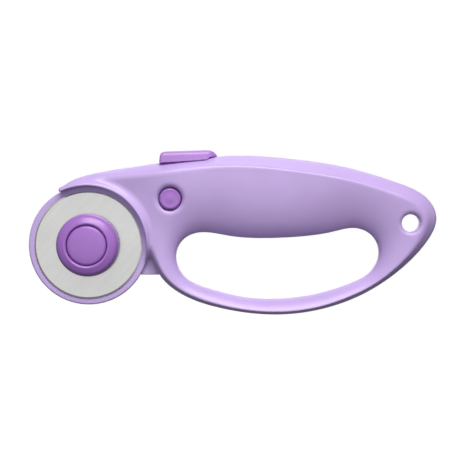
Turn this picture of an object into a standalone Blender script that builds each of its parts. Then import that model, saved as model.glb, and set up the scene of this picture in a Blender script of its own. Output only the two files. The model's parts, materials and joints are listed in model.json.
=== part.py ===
"""Rotary cutter with a closed loop handle, a sliding blade guard and a quick-release blade knob.

Frame: X runs from the blade to the hanging hole, Z is up, and the front, where the blade shows, faces -Y.
The origin is on the blade's axis in the flat back of the handle. All pieces are placed in a working frame
whose axes are (x, up, front) and whose origin is on the blade's axis in the guard's middle plane, which is
also the plane where the two handle shells meet. A height below is a distance in front of that plane.
Dimensions are in millimetres and are turned into metres by MM.
"""

import math

import bmesh
import bpy
import numpy as np

MM = 0.001
OBJECT = "rotary_cutter"

# The whole handle
BACK_DEPTH = 10.0  # from the parting plane to the flat back
WALL = 2.0
CORE_ROUNDING = 0.35  # the hollow's rounding as a share of the outer rounding
PARTING_GAP = 0.05  # each shell stops this far from the parting plane
STATIONS = 62  # sections around the loop
OPENING_CENTRE = (79.0, -8.0)
# Smooth closed outlines pass through these points, anticlockwise from the tail.
OUTER_OUTLINE = [
    (146.4, 11.4), (141.8, 20.3), (128.0, 26.9), (108.0, 32.7), (84.0, 36.3), (58.0, 37.4), (28.0, 34.1),
    (8.0, 30.7), (-8.0, 26.0), (-11.3, 21.0), (-5.0, 14.5), (9.0, 9.0), (21.0, 2.5), (26.2, -4.8),
    (30.6, -13.6), (41.0, -21.7), (57.0, -26.9), (77.0, -29.3), (98.0, -27.1), (118.0, -19.6),
    (134.0, -8.1), (143.0, 2.2),
]
OPENING_OUTLINE = [
    (122.2, -3.5), (119.2, 4.0), (111.5, 7.1), (101.0, 5.1), (78.0, 2.9), (60.0, 3.7), (47.6, 5.3),
    (39.7, 2.0), (36.9, -5.5), (40.7, -13.6), (50.0, -18.2), (64.0, -21.8), (77.5, -22.8), (94.0, -21.1),
    (109.0, -16.7), (118.6, -11.4),
]
# Direction from the opening's centre in degrees: front height, back height, outer and inner rounding
SECTIONS = [
    (0, 6.6, 6.6, 3.6, 5.0),
    (20, 7.2, 7.0, 4.0, 6.0),
    (45, 9.4, 9.4, 6.0, 8.0),
    (65, 10.7, 10.8, 7.0, 9.0),
    (110, 11.0, 10.9, 7.0, 9.0),
    (135, 9.8, 10.9, 5.5, 8.0),
    (152, 8.0, 10.8, 3.6, 6.0),
    (163, 6.8, 10.9, 2.6, 5.0),
    (178, 6.8, 10.9, 2.8, 4.5),
    (195, 6.6, 7.4, 3.2, 4.4),
    (225, 6.2, 6.2, 2.4, 3.4),
    (270, 6.0, 6.0, 2.2, 3.4),
    (315, 6.2, 6.2, 2.6, 3.8),
]

# Blade, guard and their travel
BLADE_RADIUS = 22.5
BLADE_BORE = 4.0
BLADE_HEIGHTS = (1.3, 1.6)
GUARD_RADIUS = 25.2
GUARD_HALF = 1.0
GUARD_CLEARANCE = 0.3
GUARD_TRAVEL = 9.0
TRAVEL_ANGLE = math.radians(6.0)
TRAVEL = (GUARD_TRAVEL * math.cos(TRAVEL_ANGLE), GUARD_TRAVEL * math.sin(TRAVEL_ANGLE))
ARM_OUTLINE = [
    (22.8, 10.6), (33.0, 11.5), (52.0, 13.5), (52.0, 26.0), (50.0, 29.0), (44.5, 31.0), (44.5, 37.4),
    (39.5, 37.0), (39.5, 30.6), (16.0, 28.4), (2.2, 25.1),
]
POST = (39.5, 44.5)  # the arm's post under the thumb slide, from x to x
SLIDE_HALF = 7.0
NOTCH_X = 46.0
NOTCH_DEPTH = 0.9

# Collar and pocket of the front shell, tongue of the rear shell
POCKET_RADIUS = 24.7
COLLAR_RADIUS = 26.6
COLLAR_HEIGHT = 8.0
COLLAR_ANGLES = (-17.0, 117.0)
TONGUE_RADIUS = 12.7

# Axle, washer, knob and its quick release
SHOULDER_RADIUS = 3.5
AXLE_RADIUS = 2.5
AXLE_HEAD_RADIUS = 7.0
AXLE_HEAD_DEPTH = 2.0
AXLE_END = 6.3
GROOVE_RADIUS = 1.75
BALL_HEIGHT = 4.9
BALL_RADIUS = 1.25
BALL_PITCH = 3.15
KNOB_RADIUS = 13.0
KNOB_BACK = 1.7
KNOB_FLOOR = 2.8
BUTTON_RADIUS = 8.2
BUTTON_TOP = 9.3

# Cross-bolt lock
LOCK_AXIS = (34.7, 19.4)
LOCK_HEAD = 4.5
LOCK_THICK = 3.5
LOCK_THIN = 2.0
LOCK_FRONT = 8.6
LOCK_BACK = -6.8
DISH_RADIUS = 7.2
DISH_DEPTH = 1.0
DISH_RIM = 8.3

# Hanging hole in the tail
HANG_AXIS = (134.8, 9.3)
HANG_RADIUS = 3.5

# Casing screws: x, z, back height there, length
SCREWS = [
    (65.0, 20.5, 10.0, 12.0),
    (97.0, 19.5, 10.0, 12.0),
    (127.0, 18.6, 7.6, 9.0),
    (129.8, -4.5, 6.5, 9.0),
    (34.8, -12.4, 7.2, 9.0),
]
SCREW_RADIUS = 1.1
SCREW_HEAD = 2.6
SCREW_HEAD_DEPTH = 1.6
SCREW_RECESS = 0.6
BOSS_RADIUS = 3.6

LILAC = (0.552, 0.423, 0.738)
PURPLE = (0.392, 0.163, 0.578)
STEEL = (0.58, 0.58, 0.57)
DARK_STEEL = (0.32, 0.32, 0.33)


# ---------------------------------------------------------------- scene and materials

def clear_scene():
    for obj in list(bpy.data.objects):
        bpy.data.objects.remove(obj, do_unlink=True)
    for collection in list(bpy.data.collections):
        bpy.data.collections.remove(collection)


def new_collection(name):
    collection = bpy.data.collections.new(name)
    bpy.context.scene.collection.children.link(collection)
    return collection


def new_empty(name, parent=None, x=0.0, up=0.0, height=0.0):
    """An empty on a joint's axis, or the working frame itself."""
    empty = bpy.data.objects.new(name, None)
    empty.empty_display_size = 5 * MM
    PARTS.objects.link(empty)
    empty.parent = parent
    empty.location = (x * MM, up * MM, height * MM)
    return empty


def new_material(name, colour, roughness, metallic=0.0):
    material = bpy.data.materials.new(name)
    material.use_nodes = True
    shader = material.node_tree.nodes["Principled BSDF"]
    shader.inputs["Base Color"].default_value = (*colour, 1.0)
    shader.inputs["Roughness"].default_value = roughness
    shader.inputs["Metallic"].default_value = metallic
    material.diffuse_color = (*colour, 1.0)
    return material


def add_part(name, mesh, parent, colour, roughness, metallic=0.0, at=(0.0, 0.0, 0.0)):
    """A named piece under its body's empty, with its own material."""
    part = bpy.data.objects.new(name, mesh)
    PARTS.objects.link(part)
    part.parent = parent
    part.location = [value * MM for value in at]
    part.data.materials.clear()
    part.data.materials.append(new_material(name, colour, roughness, metallic))
    return part


def add_tool(name, mesh, at=(0.0, 0.0, 0.0)):
    """A shape that only cuts or joins: kept with the cutters, and never rendered."""
    tool = bpy.data.objects.new(name, mesh)
    TOOLS.objects.link(tool)
    tool.parent = FRAME
    tool.location = [value * MM for value in at]
    tool.hide_render = True
    tool.display_type = "WIRE"
    return tool


def boolean(target, operation, tool):
    modifier = target.modifiers.new(tool.name, "BOOLEAN")
    modifier.operation = operation
    modifier.solver = "EXACT"
    modifier.object = tool


def cut(target, *tools):
    for tool in tools:
        boolean(target, "DIFFERENCE", tool)


def join(target, *tools):
    for tool in tools:
        boolean(target, "UNION", tool)


def smooth(mesh, angle=35.0):
    mesh.shade_smooth()
    mesh.set_sharp_from_angle(angle=math.radians(angle))


# ---------------------------------------------------------------- outlines

def arc(centre, radius, start, end, steps):
    """Points of an arc, with both ends, angles in degrees."""
    angles = np.radians(np.linspace(start, end, steps + 1))
    return [(centre[0] + radius * math.cos(a), centre[1] + radius * math.sin(a)) for a in angles]


def stadium(first, second, radius, steps=24):
    """The outline of a slot between two centres."""
    heading = math.degrees(math.atan2(second[1] - first[1], second[0] - first[0]))
    return arc(second, radius, heading - 90, heading + 90, steps) + arc(
        first, radius, heading + 90, heading + 270, steps
    )


def closed_spline(points, samples_per_span=40):
    """A periodic cubic spline through the points, as an array of samples."""
    knots = np.array(points, float)
    count = len(knots)
    following = np.roll(knots, -1, axis=0)
    step = np.sqrt(np.linalg.norm(following - knots, axis=1))
    slope = (following - knots) / step[:, None]
    index = np.arange(count)
    system = np.zeros((count, count))
    system[index, index - 1] = np.roll(step, 1)
    system[index, index] = 2 * (np.roll(step, 1) + step)
    system[index, (index + 1) % count] = step
    bend = np.linalg.solve(system, 6 * (slope - np.roll(slope, 1, axis=0)))
    next_bend = np.roll(bend, -1, axis=0)
    part = np.linspace(0, 1, samples_per_span, endpoint=False)[None, :, None]
    length = step[:, None, None]
    ends = (1 - part) * knots[:, None] + part * following[:, None]
    arch = ((1 - part) ** 3 - (1 - part)) * bend[:, None] + (part**3 - part) * next_bend[:, None]
    return (ends + arch * length**2 / 6).reshape(-1, 2)


def normals(points):
    """Unit normals to the left of an ordered closed outline: inwards when it runs anticlockwise."""
    along = np.roll(points, -1, axis=0) - np.roll(points, 1, axis=0)
    along /= np.linalg.norm(along, axis=1)[:, None]
    return np.stack([-along[:, 1], along[:, 0]], axis=1)


def loop_stations():
    """Matching points on the outer outline and the opening, with their directions from the opening's centre."""
    outer = closed_spline(OUTER_OUTLINE)
    distance = np.r_[0, np.cumsum(np.linalg.norm(np.diff(outer, axis=0, append=outer[:1]), axis=1))]
    wanted = np.linspace(0, distance[-1], STATIONS, endpoint=False)
    ring = np.r_[outer, outer[:1]]
    outer_points = np.stack([np.interp(wanted, distance, ring[:, i]) for i in (0, 1)], axis=1)
    directions = np.unwrap(np.arctan2(*(outer_points - OPENING_CENTRE).T[::-1]))
    opening = closed_spline(OPENING_OUTLINE)
    opening_directions = np.unwrap(np.arctan2(*(opening - OPENING_CENTRE).T[::-1]))
    lap = 2 * math.pi
    angles = np.r_[opening_directions - lap, opening_directions, opening_directions + lap]
    inner_points = np.stack(
        [np.interp(directions, angles, np.tile(opening[:, i], 3)) for i in (0, 1)], axis=1
    )
    return outer_points, inner_points, directions


# ---------------------------------------------------------------- meshes

def finish_mesh(name, bm):
    bmesh.ops.recalc_face_normals(bm, faces=bm.faces)
    mesh = bpy.data.meshes.new(name)
    bm.to_mesh(mesh)
    bm.free()
    return mesh


def prism(name, loops, low, high):
    """A flat piece between two heights: the first outline is its rim, the others are holes."""
    curve = bpy.data.curves.new(name, "CURVE")
    curve.dimensions = "2D"
    curve.fill_mode = "BOTH"
    curve.extrude = (high - low) / 2 * MM
    for loop in loops:
        spline = curve.splines.new("POLY")
        spline.points.add(len(loop) - 1)
        for point, (x, up) in zip(spline.points, loop):
            point.co = (x * MM, up * MM, 0, 1)
        spline.use_cyclic_u = True
    return curve_mesh(name, curve, (low + high) / 2)


def curve_mesh(name, curve, height=0.0):
    """The welded mesh of a curve, moved to a height."""
    source = bpy.data.objects.new(name, curve)
    bpy.context.scene.collection.objects.link(source)
    graph = bpy.context.evaluated_depsgraph_get()
    mesh = bpy.data.meshes.new_from_object(source.evaluated_get(graph))
    bpy.data.objects.remove(source)
    bm = bmesh.new()
    bm.from_mesh(mesh)
    bmesh.ops.remove_doubles(bm, verts=bm.verts, dist=0.001 * MM)
    bmesh.ops.translate(bm, verts=bm.verts, vec=(0, 0, height * MM))
    bpy.data.meshes.remove(mesh)
    return finish_mesh(name, bm)


def cylinder(name, radius, low, high, segments=24):
    bm = bmesh.new()
    bmesh.ops.create_cone(
        bm, cap_ends=True, segments=segments, radius1=radius * MM, radius2=radius * MM, depth=(high - low) * MM
    )
    bmesh.ops.translate(bm, verts=bm.verts, vec=(0, 0, (low + high) / 2 * MM))
    mesh = finish_mesh(name, bm)
    smooth(mesh)
    return mesh


def turned_mesh(name, profile, closed):
    mesh = bpy.data.meshes.new(name)
    edges = [(i, i + 1) for i in range(len(profile) - 1)]
    if closed:
        edges.append((len(profile) - 1, 0))
    mesh.from_pydata([(radius * MM, 0, height * MM) for radius, height in profile], edges, [])
    return mesh


def turn(part, segments=28):
    """Turns a piece's profile about its own axis. Profiles run from the front, down the outer side."""
    screw = part.modifiers.new("turned", "SCREW")
    screw.axis = "Z"
    screw.steps = segments
    screw.render_steps = segments
    screw.use_merge_vertices = True
    screw.merge_threshold = 0.00001
    screw.use_smooth_shade = True
    return part


def coil(name, radius, wire, low, high, turns):
    """A compression spring: a polyline helix with a round wire and filled ends."""
    curve = bpy.data.curves.new(name, "CURVE")
    curve.dimensions = "3D"
    curve.bevel_depth = wire * MM
    curve.bevel_resolution = 1
    curve.use_fill_caps = True
    spline = curve.splines.new("POLY")
    steps = 14 * turns
    spline.points.add(steps)
    for i, point in enumerate(spline.points):
        angle = math.tau * i / 14
        rise = low + (high - low) * i / steps
        point.co = (radius * math.cos(angle) * MM, radius * math.sin(angle) * MM, rise * MM, 1)
    return curve_mesh(name, curve)


def ring_loft(name, side, inset=0.0, roof=0.0, overrun=0.0, arc_steps=3):
    """One half of the hollow-less loop handle, lofted around the finger opening.

    side is +1 for the front half and -1 for the back. With an inset it is the core that hollows a shell:
    it stays inside the walls, stops below the roof and runs past the parting plane by the overrun.
    """
    outer, opening, directions = loop_stations()
    outer_in, opening_out = normals(outer), -normals(opening)
    table = np.array(SECTIONS, float)
    degrees = np.degrees(directions) % 360
    knots = np.r_[table[:, 0], 360]
    front, back, outer_round, inner_round = (
        np.interp(degrees, knots, np.r_[column, column[0]]) for column in table[:, 1:].T
    )
    peak = (front if side > 0 else back) - roof
    rounding = CORE_ROUNDING if inset else 1.0
    bm = bmesh.new()
    rings = []
    for i in range(STATIONS):
        base = PARTING_GAP if not inset else -overrun
        section = [(opening[i] + inset * opening_out[i], base)]
        turns = np.radians(np.linspace(0, 90, arc_steps + 1))[1 if inset else 0:]
        lift = max(PARTING_GAP, base)
        for turn_angle in turns:
            reach = inset + inner_round[i] * (1 - math.cos(turn_angle)) * rounding
            section.append((opening[i] + reach * opening_out[i], lift + (peak[i] - lift) * math.sin(turn_angle)))
        for turn_angle in turns[::-1]:
            reach = inset + outer_round[i] * (1 - math.cos(turn_angle)) * rounding
            section.append((outer[i] + reach * outer_in[i], lift + (peak[i] - lift) * math.sin(turn_angle)))
        section.append((outer[i] + inset * outer_in[i], base))
        if not inset:
            section = section[1:-1]
        rings.append([bm.verts.new((p[0] * MM, p[1] * MM, side * h * MM)) for p, h in section])
    for ring, following in zip(rings, rings[1:] + rings[:1]):
        for j in range(len(ring)):
            k = (j + 1) % len(ring)
            bm.faces.new((ring[j], ring[k], following[k], following[j]))
    return finish_mesh(name, bm)


# ---------------------------------------------------------------- the guard's sweep

def guard_sweep_tools():
    """The room in the parting plane that the guard disc, its arm and its post move through."""
    reach = GUARD_HALF + GUARD_CLEARANCE
    far = (TRAVEL[0] * 1.02, TRAVEL[1] * 1.02)
    disc = stadium((0, 0), far, GUARD_RADIUS + 0.4, 32)
    arm = [
        (10, 10.0), (20, 9.6), (33.0, 11.0), (61.6, 14.0), (61.6, 27.2), (59.4, 31.0), (54.0, 32.6),
        (39.0, 31.4), (16.0, 29.0), (6.0, 27.6), (0.0, 24.0),
    ]
    near_end, far_end = POST[0] - 0.3, POST[1] + TRAVEL[0] + 0.3
    post = [(near_end, 28), (far_end, 28), (far_end, 42), (near_end, 42)]
    return [
        add_tool("guard_disc_sweep", prism("guard_disc_sweep", [disc], -reach, reach)),
        add_tool("guard_arm_sweep", prism("guard_arm_sweep", [arm], -reach, reach)),
        add_tool("guard_post_slot", prism("guard_post_slot", [post], -reach, reach)),
    ]


# ---------------------------------------------------------------- handle shells

def add_boss_cores(core, side, extra):
    """Keeps screw bosses and guide bosses solid by taking them out of the hollowing core."""
    low, high = sorted((side * 0.0, side * 14.0))
    for number, (x, up, _, _) in enumerate(SCREWS, 1):
        tool = add_tool(f"boss_{number}_{core.name}", cylinder("boss", BOSS_RADIUS, low - 2, high + 2, 12), (x, up, 0))
        cut(core, tool)
    for name, axis, radius in extra:
        cut(core, add_tool(f"{name}_{core.name}", cylinder(name, radius, low - 2, high + 2, 16), (*axis, 0)))


def make_front_shell(sweep):
    shell = add_part("handle_shell_front", ring_loft("handle_shell_front", 1), HANDLE, LILAC, 0.38)
    core = add_tool("front_core", ring_loft("front_core", 1, WALL, WALL, 2.0, 2))
    add_boss_cores(core, 1, [("lock_guide", LOCK_AXIS, 6.6), ("hang_guide", HANG_AXIS, 5.6)])
    cut(shell, core)

    collar = arc((0, 0), COLLAR_RADIUS, *COLLAR_ANGLES, 28)
    collar += arc((0, 0), POCKET_RADIUS - 1.5, *COLLAR_ANGLES[::-1], 28)
    join(shell, add_tool("collar_ring", prism("collar_ring", [collar], 0.2, COLLAR_HEIGHT)))
    cut(shell, add_tool("blade_pocket", cylinder("blade_pocket", POCKET_RADIUS, -2, 16, 72)))

    for number, (x, up, _, _) in enumerate(SCREWS, 1):
        pilot = cylinder("pilot", SCREW_RADIUS + 0.1, -2, 5.0, 12)
        cut(shell, add_tool(f"pilot_{number}", pilot, (x, up, 0)))
    cut(
        shell,
        add_tool("lock_hole_front", cylinder("lock_hole_front", LOCK_HEAD + 0.4, -2, 16), (*LOCK_AXIS, 0)),
        dish("lock_dish_front", LOCK_AXIS, DISH_RADIUS, DISH_RIM, DISH_DEPTH),
        add_tool("hang_hole_front", cylinder("hang_hole_front", HANG_RADIUS, -2, 16), (*HANG_AXIS, 0)),
        *sweep,
    )
    return shell


def make_rear_shell(sweep):
    shell = add_part("handle_shell_rear", ring_loft("handle_shell_rear", -1), HANDLE, LILAC, 0.38)
    core = add_tool("rear_core", ring_loft("rear_core", -1, WALL, WALL + 0.8, 2.0, 2))
    posts = [("detent_post_a", (41.0, 9.0), 1.3), ("detent_post_b", (51.0, 10.0), 1.3)]
    add_boss_cores(core, -1, [("lock_guide", LOCK_AXIS, 6.6), ("hang_guide", HANG_AXIS, 5.6), *posts])
    cut(shell, core)

    tongue = arc((0, 0), TONGUE_RADIUS, 100, 270, 30) + [(31.5, -TONGUE_RADIUS), (31.5, 5.0), (12.0, 20.0)]
    join(shell, add_tool("axle_tongue", prism("axle_tongue", [tongue], -BACK_DEPTH - 0.4, -0.3)))
    back = [(-40, -50), (160, -50), (160, 60), (-40, 60)]
    cut(shell, add_tool("flat_back", prism("flat_back", [back], -BACK_DEPTH - 8, -BACK_DEPTH)))

    for number, (x, up, depth, _) in enumerate(SCREWS, 1):
        clearance = cylinder("clearance", SCREW_RADIUS + 0.4, -BACK_DEPTH - 3, 2, 12)
        seat = -depth + SCREW_RECESS + SCREW_HEAD_DEPTH + 0.1
        recess = cylinder("recess", SCREW_HEAD + 0.3, -BACK_DEPTH - 3, seat, 16)
        cut(
            shell,
            add_tool(f"screw_clearance_{number}", clearance, (x, up, 0)),
            add_tool(f"screw_recess_{number}", recess, (x, up, 0)),
        )
    axle_bore = cylinder("axle_bore", SHOULDER_RADIUS + 0.1, -BACK_DEPTH - 3, 3)
    head_seat = -BACK_DEPTH + AXLE_HEAD_DEPTH + 0.1
    axle_recess = cylinder("axle_recess", AXLE_HEAD_RADIUS + 0.2, -BACK_DEPTH - 3, head_seat)
    clip_room = [(28.0, 15.9), (44.0, 15.9), (44.0, 22.9), (28.0, 22.9)]
    cut(
        shell,
        add_tool("axle_bore", axle_bore),
        add_tool("axle_recess", axle_recess),
        add_tool("lock_hole_rear", cylinder("lock_hole_rear", LOCK_HEAD + 0.4, -16, 2), (*LOCK_AXIS, 0)),
        dish("lock_dish_rear", LOCK_AXIS, DISH_RADIUS, -BACK_DEPTH, DISH_DEPTH),
        add_tool("hang_hole_rear", cylinder("hang_hole_rear", HANG_RADIUS, -16, 2), (*HANG_AXIS, 0)),
        add_tool("clip_room", prism("clip_room", [clip_room], -3.7, -2.3)),
        *sweep,
    )
    return shell


def dish(name, axis, radius, rim, depth):
    """A shallow round dish around a button: a cutter that is part of a large ball."""
    ball = (radius**2 + depth**2) / (2 * depth)
    toward = math.copysign(1, rim)
    steps = 5
    widest = math.asin(radius * 1.1 / ball)
    floor = abs(rim) - depth
    turns = [widest * i / steps for i in range(steps + 1)]
    side = [(ball * math.sin(t), floor + ball * (1 - math.cos(t))) for t in turns]
    profile = [(0, floor + 12), (side[-1][0], floor + 12), *side[::-1]]
    if toward < 0:
        profile = [(r, -h) for r, h in profile[::-1]]
    return turn(add_tool(name, turned_mesh(name, profile, False), (*axis, 0)), 24)


def make_screws():
    for number, (x, up, depth, length) in enumerate(SCREWS, 1):
        name = f"casing_screw_{number}"
        head = -depth + SCREW_RECESS
        seat = head + SCREW_HEAD_DEPTH
        profile = [
            (0, seat + length), (SCREW_RADIUS - 0.5, seat + length), (SCREW_RADIUS, seat + length - 1.2),
            (SCREW_RADIUS, seat), (SCREW_HEAD, seat), (SCREW_HEAD, head + 0.5), (SCREW_HEAD - 0.6, head), (0, head),
        ]
        screw = add_part(name, turned_mesh(name, profile, False), HANDLE, DARK_STEEL, 0.35, 1.0, (x, up, 0))
        turn(screw, 12)
        slot = [(-1.9, -0.3), (1.9, -0.3), (1.9, 0.3), (-1.9, 0.3)]
        cross = add_tool(f"drive_slot_{number}", prism("drive_slot", [slot], head - 1, head + 0.8), (x, up, 0))
        cut(screw, cross)


# ---------------------------------------------------------------- guard and thumb slide

def arm_edge(x):
    """How high the arm's lower edge is at x, between its two corners there."""
    (left, low), (right, high) = ARM_OUTLINE[1:3]
    return low + (x - left) * (high - low) / (right - left)


def make_guard():
    """The disc behind the blade and, in one piece with it, the arm inside the handle."""
    notches = []
    for x in (NOTCH_X - TRAVEL[0], NOTCH_X):
        notches += [
            (x - 1.3, arm_edge(x - 1.3)), (x, arm_edge(x) + NOTCH_DEPTH), (x + 1.3, arm_edge(x + 1.3)),
        ]
    rim = arc((0, 0), GUARD_RADIUS, 85, 385, 64)
    outline = rim + [ARM_OUTLINE[1]] + notches + ARM_OUTLINE[2:-1]
    lock_far = (LOCK_AXIS[0] - TRAVEL[0], LOCK_AXIS[1] - TRAVEL[1])
    lock_slot = dumbbell(lock_far, LOCK_AXIS, LOCK_THICK + 0.3, LOCK_THIN + 0.35)
    slot_end = (-TRAVEL[0] - 0.1, -TRAVEL[1])
    axle_slot = stadium(slot_end, (0.1, 0), SHOULDER_RADIUS + 0.3, 12)
    mesh = prism("blade_guard", [outline, lock_slot, axle_slot], -GUARD_HALF, GUARD_HALF)
    guard = add_part("blade_guard", mesh, GUARD, LILAC, 0.36)
    recess = prism("washer_recess", [stadium(slot_end, (0.1, 0), 6.0, 16)], GUARD_HALF - 0.7, GUARD_HALF + 2)
    cut(guard, add_tool("washer_recess", recess))
    return guard


def dumbbell(first, second, radius, neck):
    """Two round ends joined by a narrower neck."""
    heading = math.degrees(math.atan2(second[1] - first[1], second[0] - first[0]))
    spread = math.degrees(math.asin(neck / radius))
    return arc(second, radius, heading - 180 + spread, heading + 180 - spread, 16) + arc(
        first, radius, heading + spread, heading + 360 - spread, 16
    )


def make_thumb_slide():
    """The ribless cap over the slot, pressed on the guard arm's post."""
    profile = [
        (30.0, 34.9), (37.0, 35.85), (46.0, 37.05), (54.7, 37.75), (53.9, 39.1), (51.6, 39.75), (42.0, 39.5),
        (33.6, 39.15), (31.0, 38.5), (30.2, 37.1),
    ]
    cap = add_part("thumb_slide", prism("thumb_slide", [profile], -SLIDE_HALF, SLIDE_HALF), GUARD, PURPLE, 0.34)
    bevel = cap.modifiers.new("soft_edges", "BEVEL")
    bevel.width = 1.2 * MM
    bevel.segments = 2
    bevel.limit_method = "ANGLE"
    bevel.angle_limit = math.radians(60)
    socket = [(POST[0] - 0.1, 33), (POST[1] + 0.1, 33), (POST[1] + 0.1, 37.8), (POST[0] - 0.1, 37.8)]
    cut(cap, add_tool("post_socket", prism("post_socket", [socket], -GUARD_HALF - 0.1, GUARD_HALF + 0.1)))
    return cap


# ---------------------------------------------------------------- blade, axle and knob

def make_blade():
    low, high = BLADE_HEIGHTS
    middle = (low + high) / 2
    profile = [
        (BLADE_BORE, high), (BLADE_RADIUS - 1.5, high), (BLADE_RADIUS, middle), (BLADE_RADIUS - 1.5, low),
        (BLADE_BORE, low),
    ]
    blade = add_part("cutting_blade", turned_mesh("cutting_blade", profile, True), WHEEL, STEEL, 0.25, 1.0)
    return turn(blade, 64)


def make_axle():
    profile = [
        (0, AXLE_END), (AXLE_RADIUS - 0.3, AXLE_END), (AXLE_RADIUS, BALL_HEIGHT + 1.15),
        (GROOVE_RADIUS, BALL_HEIGHT + 0.5), (GROOVE_RADIUS, BALL_HEIGHT - 0.5),
        (AXLE_RADIUS, BALL_HEIGHT - 1.15), (AXLE_RADIUS, 0.6), (SHOULDER_RADIUS, 0.6),
        (SHOULDER_RADIUS, -BACK_DEPTH + AXLE_HEAD_DEPTH), (AXLE_HEAD_RADIUS, -BACK_DEPTH + AXLE_HEAD_DEPTH),
        (AXLE_HEAD_RADIUS, -BACK_DEPTH + 0.5), (AXLE_HEAD_RADIUS - 0.5, -BACK_DEPTH), (0, -BACK_DEPTH),
    ]
    return turn(add_part("axle_pin", turned_mesh("axle_pin", profile, False), HANDLE, STEEL, 0.3, 1.0), 24)


def make_blade_washer():
    profile = [(AXLE_RADIUS + 0.1, 1.2), (5.4, 1.2), (5.4, 0.7), (AXLE_RADIUS + 0.1, 0.7)]
    return turn(add_part("blade_washer", turned_mesh("blade_washer", profile, True), HANDLE, STEEL, 0.35, 1.0), 24)


def make_knob():
    """A cup that clamps the blade: its hollow holds the release button and its spring."""
    profile = [
        (8.6, 7.9), (9.2, 8.7), (10.0, 8.95), (11.1, 8.3), (12.3, 7.0), (KNOB_RADIUS, 4.8), (KNOB_RADIUS, 2.3),
        (KNOB_RADIUS - 0.6, KNOB_BACK), (4.4, KNOB_BACK), (4.4, KNOB_FLOOR), (8.6, KNOB_FLOOR),
    ]
    return turn(add_part("blade_knob", turned_mesh("blade_knob", profile, True), WHEEL, PURPLE, 0.34), 40)


def make_knob_bush():
    """The metal sleeve that runs on the axle pin, centres the blade and holds the three balls."""
    bore = AXLE_RADIUS + 0.1
    spigot = BLADE_BORE - 0.05
    profile = [(bore, 6.5), (4.3, 6.5), (4.3, 1.75), (spigot, 1.75), (spigot, 1.3), (bore, 1.3)]
    bush = turn(add_part("knob_bush", turned_mesh("knob_bush", profile, True), WHEEL, STEEL, 0.3, 1.0), 24)
    for number, direction in enumerate(ball_directions(), 1):
        bm = bmesh.new()
        size = (BALL_RADIUS + 0.1) * MM
        bmesh.ops.create_cone(bm, cap_ends=True, segments=20, radius1=size, radius2=size, depth=4 * MM)
        pocket = add_tool(f"ball_pocket_{number}", finish_mesh("ball_pocket", bm))
        pocket.location = (3.6 * MM * math.cos(direction), 3.6 * MM * math.sin(direction), BALL_HEIGHT * MM)
        pocket.rotation_euler = (0, math.pi / 2, direction)
        cut(bush, pocket)
    return bush


def ball_directions():
    return [math.radians(90 + 120 * i) for i in range(3)]


def make_latch_balls():
    for number, direction in enumerate(ball_directions(), 1):
        name = f"latch_ball_{number}"
        bm = bmesh.new()
        bmesh.ops.create_uvsphere(bm, u_segments=12, v_segments=6, radius=BALL_RADIUS * MM)
        mesh = finish_mesh(name, bm)
        smooth(mesh)
        place = (BALL_PITCH * math.cos(direction), BALL_PITCH * math.sin(direction), BALL_HEIGHT)
        add_part(name, mesh, WHEEL, STEEL, 0.15, 1.0, place)


def make_release_button():
    """The domed button with a skirt. Its land holds the balls in, and its wider part lets them go."""
    profile = [
        (0, BUTTON_TOP), (3.5, BUTTON_TOP - 0.08), (6.2, BUTTON_TOP - 0.35), (7.7, BUTTON_TOP - 0.8),
        (BUTTON_RADIUS, BUTTON_TOP - 1.4), (BUTTON_RADIUS, 7.5), (6.0, 7.5), (6.0, 4.4), (4.6, 4.4), (4.6, 5.6),
        (5.3, 5.9), (5.3, 8.1), (0, 8.1),
    ]
    return turn(add_part("release_button", turned_mesh("release_button", profile, False), BUTTON, PURPLE, 0.32), 32)


def make_release_spring():
    mesh = coil("release_spring", 7.2, 0.35, 3.25, 7.05, 3)
    smooth(mesh, 60)
    return add_part("release_spring", mesh, WHEEL, STEEL, 0.3, 1.0)


# ---------------------------------------------------------------- lock and detents

def make_lock_button():
    """The cross-bolt: a thin waist lets the guard slide, and the thick stem blocks it when pushed in."""
    waist_front, waist_back = GUARD_HALF + 0.45, LOCK_BACK + 2.2
    profile = [
        (0, LOCK_FRONT), (2.2, LOCK_FRONT - 0.1), (3.6, LOCK_FRONT - 0.35), (4.25, LOCK_FRONT - 0.75),
        (LOCK_HEAD, LOCK_FRONT - 1.3), (LOCK_HEAD, 5.6), (LOCK_THICK, 5.6), (LOCK_THICK, waist_front),
        (LOCK_THIN, waist_front), (LOCK_THIN, waist_back), (LOCK_HEAD, waist_back), (LOCK_HEAD, LOCK_BACK + 0.6),
        (LOCK_HEAD - 0.6, LOCK_BACK), (0, LOCK_BACK),
    ]
    return turn(add_part("lock_button", turned_mesh("lock_button", profile, False), LOCK, PURPLE, 0.34), 28)


def make_lock_clip():
    """A hairpin of wire that straddles the lock's waist."""
    x, up = LOCK_AXIS
    leg = LOCK_THIN + 0.45
    points = [(x - 5.5, up + leg + 0.3), (x - 4.5, up + leg), (x + 4.0, up + leg)]
    points += arc((x + 4.0, up), leg, 60, -60, 4)
    points += [(x + 4.0, up - leg), (x - 4.5, up - leg), (x - 5.5, up - leg - 0.3)]
    curve = bpy.data.curves.new("lock_detent_clip", "CURVE")
    curve.dimensions = "3D"
    curve.bevel_depth = 0.35 * MM
    curve.bevel_resolution = 2
    curve.use_fill_caps = True
    spline = curve.splines.new("POLY")
    spline.points.add(len(points) - 1)
    for point, (px, pz) in zip(spline.points, points):
        point.co = (px * MM, pz * MM, 0, 1)
    mesh = curve_mesh("lock_detent_clip", curve, -3.0)
    smooth(mesh, 60)
    return add_part("lock_detent_clip", mesh, HANDLE, STEEL, 0.3, 1.0)


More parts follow.
